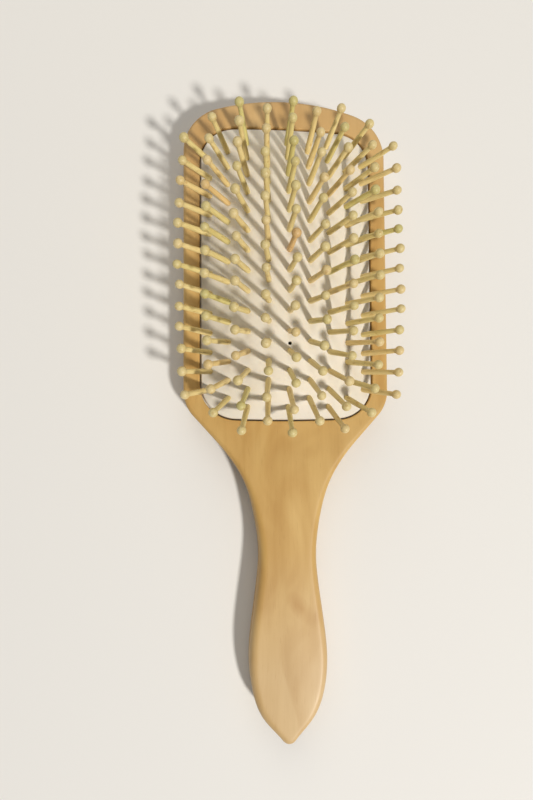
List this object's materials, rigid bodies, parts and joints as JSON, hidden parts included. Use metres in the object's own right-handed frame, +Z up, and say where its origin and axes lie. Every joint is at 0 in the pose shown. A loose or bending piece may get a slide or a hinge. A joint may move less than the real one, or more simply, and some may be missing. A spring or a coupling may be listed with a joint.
{
  "type": "paddle brush",
  "caption": "Wooden paddle hair brush with a domed rubber air cushion in a pocketed head and splayed ball-tipped wooden pins.",
  "frame": {"origin": "under the middle of the brush on the surface it rests on, lying on its back with the pins up", "axes": "+Y along the handle towards the head's top, +Z up along the pins, +X to the right seen from the pin side"},
  "size_m": [0.0848, 0.2475, 0.0395],
  "materials": {
    "body_wood": "fine-grained pale hardwood, sanded smooth, satin oil",
    "pad_rubber": "cream white moulded rubber, matt with a faint sheen",
    "pin_wood": "turned pale wood, lightly waxed, colour varies from pin to pin"
  },
  "bodies": {
    "paddle": {"paddle_body": "body_wood"},
    "cushion": {"air_cushion": "pad_rubber"},
    "pins_a_top": {"pins_a_top": "pin_wood"},
    "pins_a_middle": {"pins_a_middle": "pin_wood"},
    "pins_a_bottom": {"pins_a_bottom": "pin_wood"},
    "pins_b_top": {"pins_b_top": "pin_wood"},
    "pins_b_middle": {"pins_b_middle": "pin_wood"},
    "pins_b_bottom": {"pins_b_bottom": "pin_wood"},
    "pins_c_top": {"pins_c_top": "pin_wood"},
    "pins_c_middle": {"pins_c_middle": "pin_wood"},
    "pins_c_bottom": {"pins_c_bottom": "pin_wood"},
    "pins_d_top": {"pins_d_top": "pin_wood"},
    "pins_d_middle": {"pins_d_middle": "pin_wood"},
    "pins_d_bottom": {"pins_d_bottom": "pin_wood"},
    "pins_e_top": {"pins_e_top": "pin_wood"},
    "pins_e_middle": {"pins_e_middle": "pin_wood"},
    "pins_e_bottom": {"pins_e_bottom": "pin_wood"},
    "pins_f_top": {"pins_f_top": "pin_wood"},
    "pins_f_middle": {"pins_f_middle": "pin_wood"},
    "pins_f_bottom": {"pins_f_bottom": "pin_wood"},
    "pins_g_top": {"pins_g_top": "pin_wood"},
    "pins_g_middle": {"pins_g_middle": "pin_wood"},
    "pins_g_bottom": {"pins_g_bottom": "pin_wood"},
    "pins_h_top": {"pins_h_top": "pin_wood"},
    "pins_h_middle": {"pins_h_middle": "pin_wood"},
    "pins_h_bottom": {"pins_h_bottom": "pin_wood"},
    "pins_i_top": {"pins_i_top": "pin_wood"},
    "pins_i_middle": {"pins_i_middle": "pin_wood"},
    "pins_i_bottom": {"pins_i_bottom": "pin_wood"}
  },
  "joints": [
    {"name": "cushion_press", "type": "slide", "parent": "paddle", "child": "cushion", "axis": [0, 0, -1], "range_m": [0, 0.0025], "stiffness_N_per_m": 4000, "deforming": ["air_cushion"]},
    {"name": "rock_a_top", "type": "hinge", "parent": "cushion", "child": "pins_a_top", "pos_m": [-0.02911, 0.08736, 0.01349], "axis": [0, 1, 0], "range_deg": [-10, 12], "stiffness_Nm_per_rad": 0.12},
    {"name": "rock_a_middle", "type": "hinge", "parent": "cushion", "child": "pins_a_middle", "pos_m": [-0.02905, 0.0539, 0.01393], "axis": [0, 1, 0], "range_deg": [-10, 12], "stiffness_Nm_per_rad": 0.15},
    {"name": "rock_a_bottom", "type": "hinge", "parent": "cushion", "child": "pins_a_bottom", "pos_m": [-0.02912, 0.02046, 0.01337], "axis": [0, 1, 0], "range_deg": [-6, 12], "stiffness_Nm_per_rad": 0.12},
    {"name": "rock_b_top", "type": "hinge", "parent": "cushion", "child": "pins_b_top", "pos_m": [-0.02241, 0.08717, 0.01584], "axis": [0, 1, 0], "range_deg": [-15, 15], "stiffness_Nm_per_rad": 0.15},
    {"name": "rock_b_middle", "type": "hinge", "parent": "cushion", "child": "pins_b_middle", "pos_m": [-0.02235, 0.0539, 0.01684], "axis": [0, 1, 0], "range_deg": [-15, 15], "stiffness_Nm_per_rad": 0.12},
    {"name": "rock_b_bottom", "type": "hinge", "parent": "cushion", "child": "pins_b_bottom", "pos_m": [-0.02242, 0.02065, 0.01559], "axis": [0, 1, 0], "range_deg": [-15, 15], "stiffness_Nm_per_rad": 0.15},
    {"name": "rock_c_top", "type": "hinge", "parent": "cushion", "child": "pins_c_top", "pos_m": [-0.01525, 0.09057, 0.01727], "axis": [0, 1, 0], "range_deg": [-15, 15], "stiffness_Nm_per_rad": 0.15},
    {"name": "rock_c_middle", "type": "hinge", "parent": "cushion", "child": "pins_c_middle", "pos_m": [-0.01518, 0.05391, 0.01908], "axis": [0, 1, 0], "range_deg": [-15, 15], "stiffness_Nm_per_rad": 0.15},
    {"name": "rock_c_bottom", "type": "hinge", "parent": "cushion", "child": "pins_c_bottom", "pos_m": [-0.01526, 0.01727, 0.01683], "axis": [0, 1, 0], "range_deg": [-15, 15], "stiffness_Nm_per_rad": 0.15},
    {"name": "rock_d_top", "type": "hinge", "parent": "cushion", "child": "pins_d_top", "pos_m": [-0.00771, 0.08705, 0.01895], "axis": [0, 1, 0], "range_deg": [-15, 15], "stiffness_Nm_per_rad": 0.15},
    {"name": "rock_d_middle", "type": "hinge", "parent": "cushion", "child": "pins_d_middle", "pos_m": [-0.00768, 0.05391, 0.02056], "axis": [0, 1, 0], "range_deg": [-15, 15], "stiffness_Nm_per_rad": 0.12},
    {"name": "rock_d_bottom", "type": "hinge", "parent": "cushion", "child": "pins_d_bottom", "pos_m": [-0.00771, 0.02078, 0.01854], "axis": [0, 1, 0], "range_deg": [-15, 15], "stiffness_Nm_per_rad": 0.15},
    {"name": "rock_e_top", "type": "hinge", "parent": "cushion", "child": "pins_e_top", "pos_m": [0, 0.0905, 0.01879], "axis": [0, 1, 0], "range_deg": [-15, 15], "stiffness_Nm_per_rad": 0.15},
    {"name": "rock_e_middle", "type": "hinge", "parent": "cushion", "child": "pins_e_middle", "pos_m": [0, 0.05391, 0.02103], "axis": [0, 1, 0], "range_deg": [-15, 15], "stiffness_Nm_per_rad": 0.15},
    {"name": "rock_e_bottom", "type": "hinge", "parent": "cushion", "child": "pins_e_bottom", "pos_m": [0, 0.01734, 0.01824], "axis": [0, 1, 0], "range_deg": [-15, 15], "stiffness_Nm_per_rad": 0.15},
    {"name": "rock_f_top", "type": "hinge", "parent": "cushion", "child": "pins_f_top", "pos_m": [0.00771, 0.08705, 0.01895], "axis": [0, 1, 0], "range_deg": [-15, 15], "stiffness_Nm_per_rad": 0.15},
    {"name": "rock_f_middle", "type": "hinge", "parent": "cushion", "child": "pins_f_middle", "pos_m": [0.00768, 0.05391, 0.02056], "axis": [0, 1, 0], "range_deg": [-15, 15], "stiffness_Nm_per_rad": 0.12},
    {"name": "rock_f_bottom", "type": "hinge", "parent": "cushion", "child": "pins_f_bottom", "pos_m": [0.00771, 0.02078, 0.01854], "axis": [0, 1, 0], "range_deg": [-15, 15], "stiffness_Nm_per_rad": 0.15},
    {"name": "rock_g_top", "type": "hinge", "parent": "cushion", "child": "pins_g_top", "pos_m": [0.01525, 0.09057, 0.01727], "axis": [0, 1, 0], "range_deg": [-15, 15], "stiffness_Nm_per_rad": 0.15},
    {"name": "rock_g_middle", "type": "hinge", "parent": "cushion", "child": "pins_g_middle", "pos_m": [0.01518, 0.05391, 0.01908], "axis": [0, 1, 0], "range_deg": [-15, 15], "stiffness_Nm_per_rad": 0.15},
    {"name": "rock_g_bottom", "type": "hinge", "parent": "cushion", "child": "pins_g_bottom", "pos_m": [0.01526, 0.01727, 0.01683], "axis": [0, 1, 0], "range_deg": [-15, 15], "stiffness_Nm_per_rad": 0.15},
    {"name": "rock_h_top", "type": "hinge", "parent": "cushion", "child": "pins_h_top", "pos_m": [0.02241, 0.08717, 0.01584], "axis": [0, 1, 0], "range_deg": [-15, 15], "stiffness_Nm_per_rad": 0.15},
    {"name": "rock_h_middle", "type": "hinge", "parent": "cushion", "child": "pins_h_middle", "pos_m": [0.02235, 0.0539, 0.01684], "axis": [0, 1, 0], "range_deg": [-15, 15], "stiffness_Nm_per_rad": 0.12},
    {"name": "rock_h_bottom", "type": "hinge", "parent": "cushion", "child": "pins_h_bottom", "pos_m": [0.02242, 0.02065, 0.01559], "axis": [0, 1, 0], "range_deg": [-15, 15], "stiffness_Nm_per_rad": 0.15},
    {"name": "rock_i_top", "type": "hinge", "parent": "cushion", "child": "pins_i_top", "pos_m": [0.02911, 0.08736, 0.01349], "axis": [0, 1, 0], "range_deg": [-12, 10], "stiffness_Nm_per_rad": 0.12},
    {"name": "rock_i_middle", "type": "hinge", "parent": "cushion", "child": "pins_i_middle", "pos_m": [0.02905, 0.0539, 0.01393], "axis": [0, 1, 0], "range_deg": [-12, 10], "stiffness_Nm_per_rad": 0.15},
    {"name": "rock_i_bottom", "type": "hinge", "parent": "cushion", "child": "pins_i_bottom", "pos_m": [0.02912, 0.02046, 0.01337], "axis": [0, 1, 0], "range_deg": [-12, 6], "stiffness_Nm_per_rad": 0.12}
  ]
}
